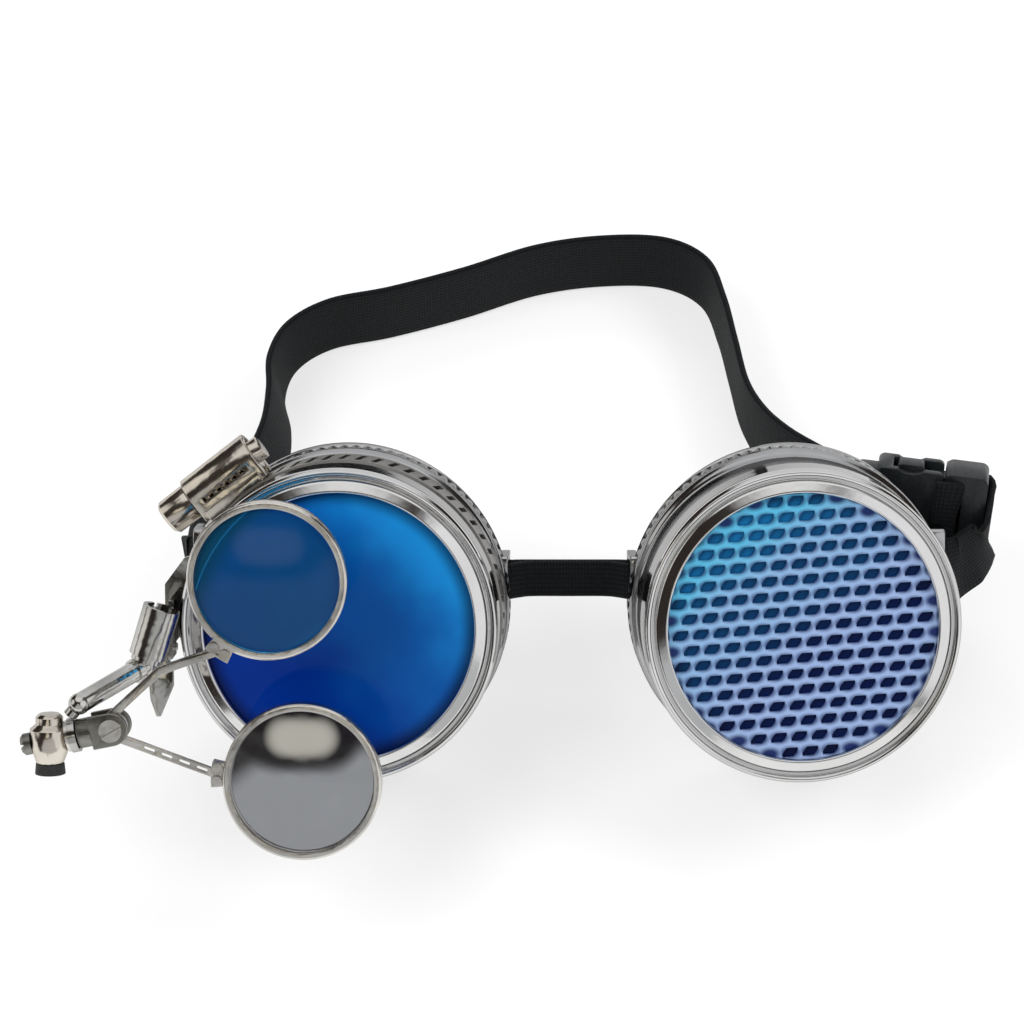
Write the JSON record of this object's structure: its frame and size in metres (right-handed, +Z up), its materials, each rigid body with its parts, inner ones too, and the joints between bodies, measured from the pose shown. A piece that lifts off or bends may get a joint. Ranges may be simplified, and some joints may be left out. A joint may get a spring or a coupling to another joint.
{
  "type": "goggles",
  "caption": "Costume goggles: two round screw-ring lens cups on straps, with a grille over one lens and a clip-on double loupe on the other.",
  "frame": {"origin": "middle of the footprint of the whole object, on the table", "axes": "+X along the width to the viewer's right, +Y away from the viewer towards the head strap, +Z up"},
  "size_m": [0.1837, 0.1557, 0.0748],
  "materials": {
    "chromed_shell": "vacuum-metallised moulding, mirror-like",
    "chromed_ring": "vacuum-metallised moulding, mirror-like",
    "black_rubber": "matte",
    "deep_blue_glass": "tinted, glossy",
    "expanded_metal": "bright, slit and stretched",
    "black_webbing": "matte, tight flat weave",
    "black_plastic": "moulded, satin",
    "steel_band": "rolled strip",
    "nickel_plate": "warm nickel plate",
    "polished_steel": "bright plate",
    "dark_steel": "dark plate",
    "dark_plastic": "moulded",
    "white_plastic": "thin washer",
    "clear_glass": "polished lens"
  },
  "bodies": {
    "goggles": {"left_cup": "chromed_shell", "right_cup": "chromed_shell", "left_rim_trim": "black_rubber", "right_rim_trim": "black_rubber", "nose_strap": "black_webbing", "head_strap": "black_webbing", "buckle_strap": "black_webbing", "buckle_plug": "black_plastic", "clamp_band": "steel_band", "clamp_saddle": "nickel_plate", "loupe_clip": "polished_steel", "clip_jaw_pin": "polished_steel"},
    "left_lens_pack": {"left_lens": "deep_blue_glass", "left_lens_washer": "black_rubber"},
    "left_lens_ring": {"left_lens_ring": "chromed_ring"},
    "right_lens_pack": {"right_lens": "deep_blue_glass", "right_lens_washer": "black_rubber", "right_grille": "expanded_metal"},
    "right_lens_ring": {"right_lens_ring": "chromed_ring"},
    "clamp_screw": {"clamp_screw": "nickel_plate"},
    "clip_jaw": {"clip_jaw": "polished_steel"},
    "loupe_post": {"loupe_post": "polished_steel"},
    "pivot_fork": {"pivot_fork": "dark_steel", "fork_bolt": "dark_steel", "fork_bolt_washer": "polished_steel", "swivel_block": "nickel_plate", "pivot_screw": "polished_steel", "pivot_nut": "polished_steel", "arm_washer": "white_plastic"},
    "fork_lock_screw": {"fork_lock_screw": "dark_plastic"},
    "upper_loupe": {"upper_arm": "polished_steel", "upper_loupe_rim": "polished_steel", "upper_loupe_lens": "clear_glass", "upper_lug_rivets": "polished_steel"},
    "lower_loupe": {"lower_arm": "polished_steel", "lower_loupe_rim": "polished_steel", "lower_loupe_lens": "clear_glass", "lower_lug_rivets": "polished_steel"},
    "buckle_socket": {"buckle_socket": "black_plastic"},
    "upper_buckle_prong": {"upper_buckle_prong": "black_plastic"},
    "lower_buckle_prong": {"lower_buckle_prong": "black_plastic"}
  },
  "joints": [
    {"name": "left_lens_pack", "type": "slide", "parent": "goggles", "child": "left_lens_pack", "axis": [-0.0523, -0.6937, 0.7184], "range_m": [0, 0.003]},
    {"name": "left_lens_ring", "type": "hinge", "parent": "left_lens_pack", "child": "left_lens_ring", "pos_m": [-0.03455, -0.038, 0.04365], "axis": [-0.0523, -0.6937, 0.7184], "range_deg": [0, 540]},
    {"name": "right_lens_pack", "type": "slide", "parent": "goggles", "child": "right_lens_pack", "axis": [0.0523, -0.6937, 0.7184], "range_m": [0, 0.003]},
    {"name": "right_lens_ring", "type": "hinge", "parent": "right_lens_pack", "child": "right_lens_ring", "pos_m": [0.05145, -0.038, 0.04365], "axis": [0.0523, -0.6937, 0.7184], "range_deg": [0, 540]},
    {"name": "clamp_screw", "type": "hinge", "parent": "goggles", "child": "clamp_screw", "pos_m": [-0.05645, -0.0084, 0.0506], "axis": [0.7869, 0.4142, 0.4573], "continuous": true},
    {"name": "clip_jaw", "type": "hinge", "parent": "goggles", "child": "clip_jaw", "pos_m": [-0.06794, -0.03884, 0.03876], "axis": [-0.9986, 0.0364, -0.0376], "range_deg": [0, 18], "stiffness_Nm_per_rad": 0.02},
    {"name": "loupe_swing", "type": "hinge", "parent": "goggles", "child": "loupe_post", "pos_m": [-0.06811, -0.03998, 0.04541], "axis": [0.292, 0.6773, 0.6753], "range_deg": [-70, 5]},
    {"name": "fork_tilt", "type": "hinge", "parent": "loupe_post", "child": "pivot_fork", "pos_m": [-0.07484, -0.05895, 0.04289], "axis": [-0.9768, -0.114, -0.1813], "range_deg": [-12, 10]},
    {"name": "fork_lock_screw", "type": "hinge", "parent": "pivot_fork", "child": "fork_lock_screw", "pos_m": [-0.08646, -0.06031, 0.04074], "axis": [0, 0.7193, 0.6947], "continuous": true},
    {"name": "upper_loupe_swing", "type": "hinge", "parent": "pivot_fork", "child": "upper_loupe", "pos_m": [-0.07484, -0.05895, 0.04289], "axis": [0.0523, 0.6937, -0.7184], "range_deg": [-50, 7]},
    {"name": "lower_loupe_swing", "type": "hinge", "parent": "pivot_fork", "child": "lower_loupe", "pos_m": [-0.07484, -0.05895, 0.04289], "axis": [0.0523, 0.6937, -0.7184], "range_deg": [-7, 50]},
    {"name": "buckle_slide", "type": "slide", "parent": "goggles", "child": "buckle_socket", "axis": [-0.9877, 0.1564, 0], "range_m": [0, 0.016], "deforming": ["head_strap"]},
    {"name": "upper_buckle_prong", "type": "hinge", "parent": "goggles", "child": "upper_buckle_prong", "pos_m": [0.08022, 0.00551, 0.02866], "axis": [-0.1418, -0.8951, 0.4226], "range_deg": [0, 6], "stiffness_Nm_per_rad": 0.4},
    {"name": "lower_buckle_prong", "type": "hinge", "parent": "goggles", "child": "lower_buckle_prong", "pos_m": [0.07917, -0.00109, 0.01434], "axis": [0.1418, 0.8951, -0.4226], "range_deg": [0, 6], "stiffness_Nm_per_rad": 0.4}
  ],
  "couplings": [
    {"joint": "left_lens_ring", "follows": "left_lens_pack", "rad_per_m": 3141.6},
    {"joint": "right_lens_ring", "follows": "right_lens_pack", "rad_per_m": 3141.6}
  ]
}
